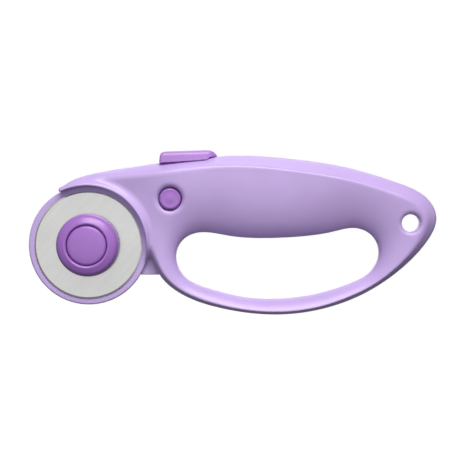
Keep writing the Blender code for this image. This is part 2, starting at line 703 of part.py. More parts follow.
def make_slide_detent():
    """A bowed leaf on two posts. Its crown faces the notches in the guard arm."""
    crown = arm_edge(NOTCH_X) - 0.4
    path = [(39.4, 9.0), (39.6, 10.2), (40.6, 10.75), (43.5, 11.2), (45.2, crown - 0.5), (46.0, crown)]
    path += [(46.8, crown - 0.45), (48.5, 11.75), (51.4, 11.8), (52.4, 11.2), (52.6, 10.0)]
    half = 0.2
    steps = np.array(path)
    along = np.gradient(steps, axis=0)
    along /= np.linalg.norm(along, axis=1)[:, None]
    side = np.stack([-along[:, 1], along[:, 0]], axis=1) * half
    outline = [tuple(p) for p in steps + side] + [tuple(p) for p in (steps - side)[::-1]]
    mesh = prism("slide_detent_spring", [outline], -1.2, 1.2)
    return add_part("slide_detent_spring", mesh, HANDLE, STEEL, 0.3, 1.0)


clear_scene()
PARTS = new_collection(OBJECT)
TOOLS = new_collection(OBJECT + "_cutters")
TOOLS.hide_render = True

FRAME = new_empty("working_frame")
FRAME.location = (0, -BACK_DEPTH * MM, 0)
FRAME.rotation_euler = (math.pi / 2, 0, 0)
HANDLE = new_empty("handle_body", FRAME)
GUARD = new_empty("guard_slide_axis", FRAME)
WHEEL = new_empty("blade_spin_axis", FRAME)
BUTTON = new_empty("release_press_axis", WHEEL)
LOCK = new_empty("lock_press_axis", FRAME, *LOCK_AXIS)

sweep_tools = guard_sweep_tools()
make_front_shell(sweep_tools)
make_rear_shell(sweep_tools)
make_screws()
make_guard()
make_thumb_slide()
make_blade()
make_axle()
make_blade_washer()
make_knob()
make_knob_bush()
make_latch_balls()
make_release_button()
make_release_spring()
make_lock_button()
make_lock_clip()
make_slide_detent()
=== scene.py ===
"""Looks of the rotary cutter: smooth shells, guard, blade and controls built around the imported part.

Shapes are described in the part's working frame, in millimetres: x along the handle, z up, both from the
blade's axis, and h in front of the guard's middle plane, where the two handle shells meet. Moulded pieces are
the zero surface of a field that is positive inside the plastic, so that every fillet is a smooth minimum of
two fields.
"""

import json
import math

import bpy
import numpy as np
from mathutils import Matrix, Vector


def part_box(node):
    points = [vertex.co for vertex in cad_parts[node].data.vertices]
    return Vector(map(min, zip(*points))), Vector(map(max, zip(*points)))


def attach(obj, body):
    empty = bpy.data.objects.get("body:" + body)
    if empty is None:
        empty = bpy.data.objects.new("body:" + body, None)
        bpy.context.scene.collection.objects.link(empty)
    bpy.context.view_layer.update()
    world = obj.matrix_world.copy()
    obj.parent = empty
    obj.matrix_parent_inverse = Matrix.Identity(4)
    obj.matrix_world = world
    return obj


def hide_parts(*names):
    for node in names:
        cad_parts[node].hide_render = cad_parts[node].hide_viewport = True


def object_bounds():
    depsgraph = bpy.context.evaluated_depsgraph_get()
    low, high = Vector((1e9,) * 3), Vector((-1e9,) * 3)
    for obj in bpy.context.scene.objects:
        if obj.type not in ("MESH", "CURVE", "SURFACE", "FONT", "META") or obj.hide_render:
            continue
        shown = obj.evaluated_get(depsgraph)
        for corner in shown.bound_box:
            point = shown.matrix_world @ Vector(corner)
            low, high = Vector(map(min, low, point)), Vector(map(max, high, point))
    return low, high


MM = 0.001

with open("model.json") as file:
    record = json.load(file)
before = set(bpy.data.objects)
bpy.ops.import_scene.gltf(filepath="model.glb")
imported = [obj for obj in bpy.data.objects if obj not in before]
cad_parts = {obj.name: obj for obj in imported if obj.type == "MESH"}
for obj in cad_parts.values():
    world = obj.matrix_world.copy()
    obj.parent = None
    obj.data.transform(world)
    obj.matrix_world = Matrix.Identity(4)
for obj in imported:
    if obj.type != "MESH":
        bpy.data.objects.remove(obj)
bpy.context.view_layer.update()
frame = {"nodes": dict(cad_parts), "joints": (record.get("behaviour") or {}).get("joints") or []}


def box_mm(node):
    low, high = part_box(node)
    return np.array(low) / MM, np.array(high) / MM


def centre_mm(node):
    """The x and z of a round node's axis."""
    low, high = box_mm(node)
    return (low[0] + high[0]) / 2, (low[2] + high[2]) / 2


GUARD_LOW, GUARD_HIGH = box_mm("blade_guard")
PLANE_Y = (GUARD_LOW[1] + GUARD_HIGH[1]) / 2  # world y of the guard's middle plane
BACK = -PLANE_Y  # how far the flat back is behind it
GUARD_HALF = (GUARD_HIGH[1] - GUARD_LOW[1]) / 2
GUARD_RADIUS = -GUARD_LOW[0]
BLADE_RADIUS = box_mm("cutting_blade")[1][0]
BLADE_FRONT = PLANE_Y - box_mm("cutting_blade")[0][1]
BLADE_REAR = PLANE_Y - box_mm("cutting_blade")[1][1]
KNOB_RADIUS = box_mm("blade_knob")[1][0]
LOCK_X, LOCK_Z = centre_mm("lock_button")
SLIDE_LOW, SLIDE_HIGH = box_mm("thumb_slide")
SCREWS = [  # x, z and how deep behind the plane the head's face is
    (*centre_mm(f"casing_screw_{i}"), box_mm(f"casing_screw_{i}")[1][1] - PLANE_Y) for i in range(1, 6)
]

# The handle's outlines, as points of smooth closed curves
OUTER_OUTLINE = [
    (146.4, 11.4), (141.8, 20.3), (128.0, 26.9), (108.0, 32.7), (84.0, 36.3), (58.0, 37.4), (28.0, 34.1),
    (8.0, 30.7), (-8.0, 26.0), (-11.3, 21.0), (-5.0, 14.5), (9.0, 9.0), (21.0, 2.5), (26.2, -4.8),
    (30.6, -13.6), (41.0, -21.7), (57.0, -26.9), (77.0, -29.3), (98.0, -27.1), (118.0, -19.6),
    (134.0, -8.1), (143.0, 2.2),
]
OPENING_OUTLINE = [
    (122.2, -3.5), (119.2, 4.0), (111.5, 7.1), (101.0, 5.1), (78.0, 2.9), (60.0, 3.7), (47.6, 5.3),
    (39.7, 2.0), (36.9, -5.5), (40.7, -13.6), (50.0, -18.2), (64.0, -21.8), (77.5, -22.8), (94.0, -21.1),
    (109.0, -16.7), (118.6, -11.4),
]
OPENING_CENTRE = (79.0, -8.0)
# Direction from the opening's centre in degrees, then for the front half: crest height, how far the round drop
# to the opening reaches, the height and slope of the outer band, the crease's and the outer edge's softness
FRONT_SECTIONS = [
    (0, 6.7, 9, 2.2, 1.7, 0.6, 1.3),
    (14, 7.3, 19, 2.4, 1.0, 1.3, 1.6),
    (30, 8.7, 24, 2.4, 1.2, 1.2, 1.5),
    (52, 9.9, 24, 3.0, 1.3, 0.8, 1.5),
    (85, 10.8, 25, 3.3, 1.5, 0.7, 1.4),
    (115, 10.7, 25, 3.6, 1.6, 1.0, 1.4),
    (132, 10.2, 24, 3.8, 1.65, 1.7, 1.3),
    (150, 9.4, 22, 4.0, 1.25, 1.8, 1.2),
    (163, 8.2, 17, 3.2, 1.2, 1.6, 1.0),
    (178, 7.4, 11, 3.0, 1.6, 1.0, 1.2),
    (190, 7.0, 9, 3.0, 1.7, 0.9, 1.2),
    (215, 7.6, 11, 3.4, 1.8, 0.6, 1.2),
    (240, 8.4, 14, 3.5, 1.9, 0.5, 1.1),
    (290, 8.4, 14, 3.4, 2.0, 0.45, 1.1),
    (315, 8.2, 14, 2.8, 2.1, 0.45, 1.0),
    (335, 7.6, 12, 2.0, 2.0, 0.45, 1.0),
    (348, 7.1, 10, 1.8, 1.9, 0.5, 1.1),
]
# The same for the back half
REAR_SECTIONS = [
    (0, 7.6, 10, 3.4, 1.6, 1.0, 1.3),
    (30, 8.6, 12, 3.4, 1.1, 1.6, 1.3),
    (60, 11.4, 12, 4.6, 1.0, 1.4, 1.3),
    (110, 11.4, 12, 4.8, 1.1, 1.4, 1.3),
    (135, 11.2, 11, 4.6, 1.2, 1.4, 1.2),
    (160, 11.2, 8, 4.4, 1.5, 1.2, 1.2),
    (172, 10.4, 4, 4.8, 2.0, 0.7, 0.9),
    (192, 8.6, 3, 4.8, 2.4, 0.6, 0.8),
    (205, 7.4, 5, 4.0, 2.0, 0.7, 1.0),
    (230, 6.4, 7, 3.2, 1.8, 0.7, 1.1),
    (270, 6.2, 7, 3.2, 1.9, 0.6, 1.1),
    (320, 6.3, 8, 2.6, 2.0, 0.6, 1.0),
]

# Shells
WALL = 2.0
REAR_WALL = 2.8
EDGE_WALL = 0.5  # the upright strip at the opening, before the surface rounds over
PARTING_GAP = 0.02
PARTING_ROUND = 0.45  # softness of the two edges that meet at the parting line
SOLID_START = 0.2  # what is added to a half starts just off the parting plane

# The collar round the blade pocket; bearings are in degrees above the x axis
POCKET_RADIUS = 24.7
COLLAR_HEIGHT = 8.0
COLLAR_LIP = 0.9  # how wide its level rim is
COLLAR_START = 23.7  # radius, inside the pocket that is cut out afterwards
COLLAR_END = 26.6
COLLAR_FOOT = 26.9  # up to this radius the shell stays solid
COLLAR_BEARINGS = (-17.0, 117.0)
COLLAR_MILDEST, COLLAR_MILD = 52.0, 0.7  # the bearing where its flank falls least, and its slope there
COLLAR_STEEPENING, COLLAR_STEEPENS_OVER = 0.9, 58.0  # slope that is added over this many degrees
COLLAR_STEEPEST = 1.7
COLLAR_SINKS_BELOW = 26.0  # under this bearing the rim sinks into the handle
COLLAR_SINK = 0.002
NECK_HEIGHT, NECK_RADIUS, NECK_RISE = 5.9, 26.0, 0.24  # the handle's crest next to the collar

# The guard's travel and the room it slides through
TRAVEL = next(joint for joint in frame["joints"] if joint["name"] == "guard_slide")
TRAVEL_X, _, TRAVEL_Z = (part * TRAVEL["range_m"][1] / MM for part in TRAVEL["axis"])
TRAVEL_RISE = TRAVEL_Z / TRAVEL_X
DISC_GAP = 0.4
PLATE_GAP = 0.3
ROOM_TRAVEL, SLOT_TRAVEL = 1.02, 1.01  # rooms and slots run a little further than the guard does
ARM_SWEEP = [
    (10.0, 10.0), (20.0, 9.6), (33.0, 11.0), (61.6, 14.0), (61.6, 27.2), (59.4, 31.0), (54.0, 32.6),
    (39.0, 31.4), (16.0, 29.0), (6.0, 27.6), (0.0, 24.0),
]
POST_ROOM = (39.2, 53.8, 28.0)  # from x, to x, and upwards from z: the slot under the thumb slide

# The guard's arm
GUARD_ARM = [
    (22.8, 10.6), (33.0, 11.5), (52.0, 13.5), (52.0, 26.0), (50.0, 29.0), (44.5, 31.0), (44.5, 37.4),
    (39.5, 37.0), (39.5, 30.6), (16.0, 28.4), (2.2, 25.1),
]
NOTCH_X, NOTCH_Z, NOTCH_RADIUS = 46.0, 12.1, 1.0
LOCK_SEAT_RADIUS = 3.8
LOCK_NECK_RADIUS = 2.35
AXLE_SLOT_RADIUS = 3.8
WASHER_SLOT_RADIUS, WASHER_SLOT_DEPTH = 6.0, 0.7

# The thumb slide and the track it runs in
TRACK_X, TRACK_Z = 30.0, 34.35
TRACK_START, TRACK_END, TRACK_HALF_WIDTH = 28.6, 64.0, 8.4
SLIDE_GAP = 0.15
SLIDE_HALF_WIDTH = SLIDE_HIGH[1] - PLANE_Y
SLIDE_FOOT = 34.4
SLIDE_SIDE_LEAN, SLIDE_SIDE_FOOT = 0.14, 35.0
SLIDE_FRONT_LEAN = 0.1  # of the end next to the blade
SLIDE_TAIL_LENGTH, SLIDE_TAIL_RADIUS, SLIDE_TAIL_HALF, SLIDE_TAIL_SQUASH = 7.5, 7.6, 7.0, 1.05
SLIDE_TAIL_SLOPE, SLIDE_TAIL_FOOT = 0.75, 37.2
SLIDE_TOP_FALLS = (51.5, 18.0, 39.15)  # from this x, over this length, to this height, towards the blade
SLIDE_LIP_START, SLIDE_LIP_DEPTH, SLIDE_LIP_DEEPENING = 5.6, 0.2, 0.04

# Holes and posts
LOCK_HOLE, LOCK_POST = 4.8, 6.6
LOCK_DISH_RADIUS, LOCK_DISH_DEPTH = 7.2, 1.0
CLIP_ROOM = (36.0, LOCK_Z, 3.0)
CLIP_ROOM_HALF = (8.0, 3.5, 0.7)
HANG_X, HANG_Z, HANG_RADIUS, HANG_POST = 134.8, 9.3, 3.65, 5.6
HANG_WAIST = 3.0  # the hanging hole widens from here towards the back
HANG_FLARE = 0.16
AXLE_HOLE = 3.6
AXLE_HEAD_ROOM, AXLE_HEAD_DEPTH = 7.25, 2.15
SCREW_POST = 3.6
SCREW_RIM = 3.5
SCREW_RIM_HEIGHT, SCREW_RIM_START, SCREW_RIM_INSET = 0.2, 1.0, 0.1
SCREW_RECESS = 2.95
SCREW_HEAD_HEIGHT = 1.7
SCREW_HOLE = 1.5
PILOT_HOLE, PILOT_DEPTH, PILOT_COVER = 1.25, 5.0, 1.3

# The rear shell's tongue, which carries the axle behind the guard
TONGUE_RADIUS = 12.7
TONGUE_START = 0.3
TONGUE = [(0.0, -12.7), (31.5, -12.7), (31.5, 5.0), (12.0, 20.0), (-4.0, 12.1)]


# ---------------------------------------------------------------- fields

def closed_spline(points, samples_per_span=24):
    """A periodic cubic spline through the points, as an array of samples."""
    knots = np.array(points, float)
    count = len(knots)
    following = np.roll(knots, -1, axis=0)
    step = np.sqrt(np.linalg.norm(following - knots, axis=1))
    slope = (following - knots) / step[:, None]
    index = np.arange(count)
    system = np.zeros((count, count))
    system[index, index - 1] = np.roll(step, 1)
    system[index, index] = 2 * (np.roll(step, 1) + step)
    system[index, (index + 1) % count] = step
    bend = np.linalg.solve(system, 6 * (slope - np.roll(slope, 1, axis=0)))
    next_bend = np.roll(bend, -1, axis=0)
    part = np.linspace(0, 1, samples_per_span, endpoint=False)[None, :, None]
    length = step[:, None, None]
    ends = (1 - part) * knots[:, None] + part * following[:, None]
    arch = ((1 - part) ** 3 - (1 - part)) * bend[:, None] + (part**3 - part) * next_bend[:, None]
    return (ends + arch * length**2 / 6).reshape(-1, 2)


class OutlineField:
    """The distance to a closed outline, positive inside it, read from a grid with cubic interpolation."""

    STEP = 0.4

    def __init__(self, outline, margin=8.0):
        outline = np.array(outline, float)
        self.low = outline.min(0) - margin
        counts = np.ceil((outline.max(0) + margin - self.low) / self.STEP).astype(int) + 1
        x = (self.low[0] + self.STEP * np.arange(counts[0]))[:, None]
        z = (self.low[1] + self.STEP * np.arange(counts[1]))[None, :]
        nearest = np.full((counts[0], counts[1]), np.inf)
        inside = np.zeros((counts[0], counts[1]), bool)
        for (ax, az), (bx, bz) in zip(outline, np.roll(outline, -1, axis=0)):
            along = ((x - ax) * (bx - ax) + (z - az) * (bz - az)) / ((bx - ax) ** 2 + (bz - az) ** 2)
            along = np.clip(along, 0, 1)
            gap = (x - ax - along * (bx - ax)) ** 2 + (z - az - along * (bz - az)) ** 2
            nearest = np.minimum(nearest, gap)
            if az != bz:
                crosses = (z < az) != (z < bz)
                inside ^= crosses & (x < ax + (z - az) * (bx - ax) / (bz - az))
        self.values = np.sqrt(nearest) * np.where(inside, 1, -1)

    def __call__(self, x, z):
        across, up = (x - self.low[0]) / self.STEP, (z - self.low[1]) / self.STEP
        rows, columns = self.values.shape
        i = np.clip(np.floor(across).astype(int), 1, rows - 3)
        j = np.clip(np.floor(up).astype(int), 1, columns - 3)
        total = 0
        for di, wi in enumerate(self.weights(np.clip(across - i, 0, 1)), -1):
            for dj, wj in enumerate(self.weights(np.clip(up - j, 0, 1)), -1):
                total = total + wi * wj * self.values[i + di, j + dj]
        return total

    @staticmethod
    def weights(t):
        return (
            (-t + 2 * t**2 - t**3) / 2, (2 - 5 * t**2 + 3 * t**3) / 2,
            (t + 4 * t**2 - 3 * t**3) / 2, (-(t**2) + t**3) / 2,
        )


def smooth_min(a, b, softness):
    blend = np.maximum(softness - np.abs(a - b), 0)
    return np.minimum(a, b) - blend**2 / (4 * softness)


def smooth_max(a, b, softness):
    return -smooth_min(-a, -b, softness)


def leaning(height, slope):
    """The distance to a plane that leans by a slope, from the height above it."""
    return height / np.sqrt(1 + slope**2)


PER_DEGREE = 2  # how many values a column has for each degree
ROUNDING = 15  # how many values to each side a column is smoothed over


def column(sections, index):
    """One column of a section table as evenly spaced values round the loop, without corners."""
    table = np.array(sections, float)
    degrees = np.arange(0, 360, 1 / PER_DEGREE)
    values = np.interp(degrees, np.r_[table[:, 0], 360], np.r_[table[:, index], table[0, index]])
    window = np.hanning(2 * ROUNDING + 1)
    wrapped = np.r_[values[-ROUNDING:], values, values[:ROUNDING]]
    return np.convolve(wrapped, window / window.sum(), "valid")


def round_loop(values, x, z):
    """Reads a column in the direction of (x, z) from the opening's centre."""
    place = np.degrees(np.arctan2(z - OPENING_CENTRE[1], x - OPENING_CENTRE[0])) % 360 * PER_DEGREE
    below = np.floor(place).astype(int)
    share = place - below
    return values[below % len(values)] * (1 - share) + values[(below + 1) % len(values)] * share


outer_field = OutlineField(closed_spline(OUTER_OUTLINE))
opening_field = OutlineField(closed_spline(OPENING_OUTLINE), margin=36.0)
tongue_field = OutlineField(TONGUE)
arm_sweep_field = OutlineField(ARM_SWEEP)
guard_arm_field = OutlineField(GUARD_ARM)
front_columns = [column(FRONT_SECTIONS, i) for i in range(1, 7)]
rear_columns = [column(REAR_SECTIONS, i) for i in range(1, 7)]


def inside_outlines(x, z):
    """How far a place is inside the handle's plan, from the outer edge or from the opening."""
    return np.minimum(outer_field(x, z), -opening_field(x, z))


def half_loop(x, z, h, columns, crest_limit=None):
    """One half of the solid loop handle. h is counted outwards from the parting plane."""
    crest, reach, edge_height, slope, crease, edge = (round_loop(c, x, z) for c in columns)
    if crest_limit is not None:
        crest = smooth_min(crest, crest_limit, softness=1.5)
    outer, opening = outer_field(x, z), -opening_field(x, z)
    drop = crest - EDGE_WALL
    across = np.maximum(1 - opening / reach, 0)
    up = np.maximum((h - EDGE_WALL) / drop, 0)
    size = np.sqrt(across**2 + up**2)
    steepness = np.sqrt((across / reach) ** 2 + (up / drop) ** 2)
    face = np.where(size > 0.05, (1 - size) * size / np.maximum(steepness, 1e-6), drop)
    band = leaning(edge_height + slope * outer - h, slope)
    return smooth_min(smooth_min(face, band, crease), outer, edge)


def guard_room(x, z, h):
    """The room the guard and its arm slide through: positive inside it."""
    along = np.clip((x * TRAVEL_X + z * TRAVEL_Z) / (TRAVEL_X**2 + TRAVEL_Z**2), 0, ROOM_TRAVEL)
    disc = GUARD_RADIUS + DISC_GAP - np.hypot(x - along * TRAVEL_X, z - along * TRAVEL_Z)
    post_start, post_end, post_foot = POST_ROOM
    post = np.minimum(np.minimum(x - post_start, post_end - x), z - post_foot)
    plan = np.maximum(np.maximum(disc, arm_sweep_field(x, z)), post)
    return np.minimum(plan, GUARD_HALF + PLATE_GAP - np.abs(h))


def round_hole(x, z, centre_x, centre_z, radius):
    """Positive outside the hole."""
    return np.hypot(x - centre_x, z - centre_z) - radius


def hanging_hole(x, z, h):
    """Positive outside the hole in the tail."""
    return round_hole(x, z, HANG_X, HANG_Z, HANG_RADIUS) - HANG_FLARE * np.maximum(HANG_WAIST - h, 0)


def dish(x, z, h, centre_x, centre_z, radius, rim, depth):
    """Positive outside a shallow ball-shaped dish that is a given depth below a flat rim."""
    ball = (radius**2 + depth**2) / (2 * depth)
    away = np.sqrt((x - centre_x) ** 2 + (z - centre_z) ** 2 + (h - rim + depth - ball) ** 2)
    return away - ball


POSTS = [(LOCK_X, LOCK_Z, LOCK_POST), (HANG_X, HANG_Z, HANG_POST)]
POSTS += [(screw_x, screw_z, SCREW_POST) for screw_x, screw_z, _ in SCREWS]


def hollow(x, z, solid, roof):
    """Positive inside the hollow of a shell, where no post stays solid."""
    posts = np.minimum.reduce([round_hole(x, z, *post) for post in POSTS])
    pocket_wall = np.hypot(x, z) - COLLAR_FOOT
    walls = inside_outlines(x, z) - WALL
    return np.minimum(np.minimum(solid - roof, walls), np.minimum(posts, pocket_wall))


def collar(x, z, h):
    """The raised rim round the blade pocket: level at the lip, then falling outwards."""
    radius = np.hypot(x, z)
    bearing = np.degrees(np.arctan2(z, x))
    steepening = COLLAR_STEEPENING * ((bearing - COLLAR_MILDEST) / COLLAR_STEEPENS_OVER) ** 2
    slope = np.minimum(COLLAR_MILD + steepening, COLLAR_STEEPEST)
    flank = leaning(COLLAR_HEIGHT + slope * (POCKET_RADIUS + COLLAR_LIP - radius) - h, slope)
    sunk = COLLAR_SINK * np.maximum(COLLAR_SINKS_BELOW - bearing, 0) ** 2
    rim = smooth_min(COLLAR_HEIGHT - h, flank, softness=0.5) - sunk
    foot = smooth_max(COLLAR_END - radius, outer_field(x, z), softness=0.5)
    first, last = COLLAR_BEARINGS
    ends = np.radians((last - first) / 2 - np.abs(bearing - (first + last) / 2)) * radius
    body = smooth_min(rim, foot, softness=0.5)
    body = smooth_min(body, radius - COLLAR_START, softness=0.3)
    body = smooth_min(body, ends, softness=1.2)
    return np.minimum(body, h - SOLID_START)


def front_shell(x, z, h):
    """The front half with its collar, the lock's funnel and the screws' pilot holes."""
    radius = np.hypot(x, z)
    neck = NECK_HEIGHT + NECK_RISE * (radius - NECK_RADIUS)
    solid = half_loop(x, z, h, front_columns, crest_limit=neck)
    shell = smooth_max(solid, collar(x, z, h), softness=1.2)
    shell = smooth_min(shell, radius - POCKET_RADIUS, softness=0.7)
    shell = smooth_min(shell, round_hole(x, z, LOCK_X, LOCK_Z, LOCK_HOLE), softness=2.5)
    shell = smooth_min(shell, hanging_hole(x, z, h), softness=2.3)
    shell = np.minimum(shell, -hollow(x, z, solid, WALL))
    pilots = np.minimum.reduce([round_hole(x, z, *axis, PILOT_HOLE) for *axis, _ in SCREWS])
    pilots = np.maximum(np.maximum(pilots, h - PILOT_DEPTH), PILOT_COVER - solid)
    shell = np.minimum(shell, pilots)
    shell = np.minimum(shell, -guard_room(x, z, h))
    return smooth_min(np.minimum(shell, slide_track(x, z, h)), h - PARTING_GAP, PARTING_ROUND)


def screw_rims(x, z, depth):
    """The raised rims that close round the screw heads where the handle is narrow."""
    edges = inside_outlines(x, z) - SCREW_RIM_INSET
    rims = []
    for screw_x, screw_z, head in SCREWS:
        post = -round_hole(x, z, screw_x, screw_z, SCREW_RIM)
        rim = smooth_min(post, head + SCREW_RIM_HEIGHT - depth, softness=0.4)
        rims.append(np.minimum(smooth_min(rim, edges, softness=0.4), depth - SCREW_RIM_START))
    return rims


def rear_shell(x, z, h):
    """The back half with its tongue, flat back, screw recesses and room for the axle's head and the clip."""
    depth = -h
    loop = half_loop(x, z, depth, rear_columns)
    plan = smooth_max(tongue_field(x, z), TONGUE_RADIUS - np.hypot(x, z), softness=0.5)
    tongue = smooth_min(plan, depth - TONGUE_START, softness=1.6)
    solid = smooth_max(loop, tongue, softness=0.3)
    solid = smooth_min(solid, BACK - depth, softness=0.8)
    shell = np.minimum(solid, -hollow(x, z, loop, REAR_WALL))
    shell = smooth_min(
        shell, dish(x, z, depth, LOCK_X, LOCK_Z, LOCK_DISH_RADIUS, BACK, LOCK_DISH_DEPTH), softness=0.6
    )
    shell = smooth_min(shell, round_hole(x, z, LOCK_X, LOCK_Z, LOCK_HOLE), softness=0.4)
    shell = smooth_min(shell, hanging_hole(x, z, h), softness=1.2)
    for rim in screw_rims(x, z, depth):
        shell = smooth_max(shell, rim, softness=0.3)
    for screw_x, screw_z, head in SCREWS:
        recess = round_hole(x, z, screw_x, screw_z, SCREW_RECESS)
        shell = smooth_min(shell, np.maximum(recess, head - SCREW_HEAD_HEIGHT - depth), softness=0.4)
        shell = np.minimum(shell, round_hole(x, z, screw_x, screw_z, SCREW_HOLE))
    axle_head = np.maximum(round_hole(x, z, 0, 0, AXLE_HEAD_ROOM), BACK - AXLE_HEAD_DEPTH - depth)
    shell = smooth_min(shell, axle_head, softness=0.4)
    shell = np.minimum(shell, round_hole(x, z, 0, 0, AXLE_HOLE))
    from_clip = [np.abs(at - mid) - half for at, mid, half in zip((x, z, depth), CLIP_ROOM, CLIP_ROOM_HALF)]
    shell = np.minimum(shell, np.maximum(np.maximum(from_clip[0], from_clip[1]), from_clip[2]))
    shell = np.minimum(shell, -guard_room(x, z, h))
    return smooth_min(np.minimum(shell, slide_track(x, z, h)), depth - PARTING_GAP, PARTING_ROUND)


def track_height(x):
    """The floor of the track, which rises with the guard's straight travel."""
    return TRACK_Z + (x - TRACK_X) * TRAVEL_RISE


def slide_track(x, z, h):
    """Positive outside the shallow track that the thumb slide runs in."""
    channel = np.minimum(np.minimum(x - TRACK_START, TRACK_END - x), TRACK_HALF_WIDTH - np.abs(h))
    return smooth_max(track_height(x) - z, -channel, softness=0.5)


def thumb_slide(x, z, h):
    """The cap: sides that lean in, a top that falls towards the blade, and a rounded end towards the tail.

    Its lips overlap the handle's outer band.
    """
    left, right, top = SLIDE_LOW[0], SLIDE_HIGH[0], SLIDE_HIGH[2]
    side = SLIDE_HALF_WIDTH - np.abs(h) - SLIDE_SIDE_LEAN * np.maximum(z - SLIDE_SIDE_FOOT, 0)
    front = leaning(x - left - (z - SLIDE_FOOT) * SLIDE_FRONT_LEAN, SLIDE_FRONT_LEAN)
    beyond = np.maximum(x - right + SLIDE_TAIL_LENGTH, 0)
    aside = np.maximum(np.abs(h) - SLIDE_HALF_WIDTH + SLIDE_TAIL_HALF, 0) * SLIDE_TAIL_SQUASH
    tail = SLIDE_TAIL_RADIUS - np.hypot(beyond, aside)
    tail_slope = leaning(right + 0.2 - x - (z - SLIDE_TAIL_FOOT) * SLIDE_TAIL_SLOPE, SLIDE_TAIL_SLOPE)
    fall_start, fall_length, low_top = SLIDE_TOP_FALLS
    crown = top - z - (top - low_top) * np.clip((fall_start - x) / fall_length, 0, 1.2)
    body = smooth_min(side, smooth_min(tail, tail_slope, softness=1.2), softness=1.2)
    body = smooth_min(body, front, softness=1.4)
    body = smooth_min(body, crown, softness=2.2)
    ramp = np.clip(np.abs(h) - SLIDE_LIP_START, 0, 1)
    lip = (SLIDE_LIP_DEPTH + SLIDE_LIP_DEEPENING * (x - left)) * ramp**2 * (3 - 2 * ramp)
    return np.minimum(body, z - track_height(x) - SLIDE_GAP + lip)


def guard(x, z, h):
    """The disc and its arm, with soft rims, two notches, slots for lock and axle and the washer's room."""
    disc = GUARD_RADIUS - np.hypot(x, z)
    plan = np.maximum(disc, guard_arm_field(x, z))
    plate = smooth_min(plan, GUARD_HALF - np.abs(h), softness=0.9)
    for back in (TRAVEL_X, 0):
        notch_z = NOTCH_Z - back * TRAVEL_RISE
        plate = np.minimum(plate, round_hole(x, z, NOTCH_X - back, notch_z, NOTCH_RADIUS))
    for share in (0, 1):
        seat_x, seat_z = LOCK_X - share * TRAVEL_X, LOCK_Z - share * TRAVEL_Z
        plate = smooth_min(plate, round_hole(x, z, seat_x, seat_z, LOCK_SEAT_RADIUS), softness=0.3)
    plate = smooth_min(plate, travel_slot(x, z, LOCK_X, LOCK_Z, LOCK_NECK_RADIUS), softness=0.3)
    plate = smooth_min(plate, travel_slot(x, z, 0, 0, AXLE_SLOT_RADIUS), softness=0.3)
    recess = np.maximum(travel_slot(x, z, 0, 0, WASHER_SLOT_RADIUS), GUARD_HALF - WASHER_SLOT_DEPTH - h)
    return np.minimum(plate, recess)


def travel_slot(x, z, centre_x, centre_z, radius):
    """Positive outside a slot that runs back from a centre by the guard's travel."""
    from_x, from_z = x - centre_x, z - centre_z
    along = -(from_x * TRAVEL_X + from_z * TRAVEL_Z) / (TRAVEL_X**2 + TRAVEL_Z**2)
    along = np.clip(along, 0, SLOT_TRAVEL)
    return np.hypot(from_x + along * TRAVEL_X, from_z + along * TRAVEL_Z) - radius


# ---------------------------------------------------------------- surfaces of fields

def surface_of(field, low, high, step):
    """Points and quads of a field's zero surface: one point in each grid cell the surface passes through."""
    counts = np.ceil((np.array(high) - low) / step).astype(int) + 1
    x, z, h = (low[i] + step * np.arange(counts[i]) for i in range(3))
    values = np.broadcast_to(field(x[:, None, None], z[None, :, None], h[None, None, :]), counts).copy()
    for axis in range(3):
        edge = [slice(None)] * 3
        for end in (0, -1):
            edge[axis] = end
            values[tuple(edge)] = np.minimum(values[tuple(edge)], -0.01)
    inside = values > 0
    cells = counts - 1
    total = np.zeros((*cells, 3))
    hits = np.zeros(cells, int)
    crossings = []
    for axis in range(3):
        near = [slice(None)] * 3
        far = [slice(None)] * 3
        near[axis], far[axis] = slice(0, -1), slice(1, None)
        a, b = values[tuple(near)], values[tuple(far)]
        place = np.argwhere(inside[tuple(near)] != inside[tuple(far)])
        start, end = a[tuple(place.T)], b[tuple(place.T)]
        point = place.astype(float)
        point[:, axis] += start / (start - end)
        sides = [i for i in range(3) if i != axis]
        ring = []
        for first, second in ((-1, -1), (0, -1), (0, 0), (-1, 0)):
            cell = place.copy()
            cell[:, sides[0]] += first
            cell[:, sides[1]] += second
            np.add.at(total, tuple(cell.T), point)
            np.add.at(hits, tuple(cell.T), 1)
            ring.append(cell)
        crossings.append((ring, (start > 0) != (axis == 1)))
    used = hits > 0
    number = np.full(cells, -1)
    number[used] = np.arange(used.sum())
    points = low + step * total[used] / hits[used][:, None]
    quads = []
    for ring, forward in crossings:
        corners = np.stack([number[tuple(cell.T)] for cell in ring], axis=1)
        corners[~forward] = corners[~forward][:, ::-1]
        quads.append(corners)
    return points, np.concatenate(quads)


def gradient(field, points, reach=0.06):
    steps = np.eye(3) * reach
    return np.stack(
        [(field(*(points + s).T) - field(*(points - s).T)) / (2 * reach) for s in steps], axis=1
    )


def to_world(points):
    """Working frame in millimetres to the row frame in metres."""
    x, z, h = np.asarray(points, float).T
    return np.stack([x, PLANE_Y - h, z], axis=1) * MM


def new_piece(name, points, faces, body, material, nodes):
    mesh = bpy.data.meshes.new(name)
    mesh.from_pydata(to_world(points).tolist(), [], [list(map(int, f)) for f in faces])
    mesh.materials.append(material)
    piece = bpy.data.objects.new(name, mesh)
    bpy.context.scene.collection.objects.link(piece)
    mesh.shade_smooth()
    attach(piece, body)
    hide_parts(*nodes)
    return piece


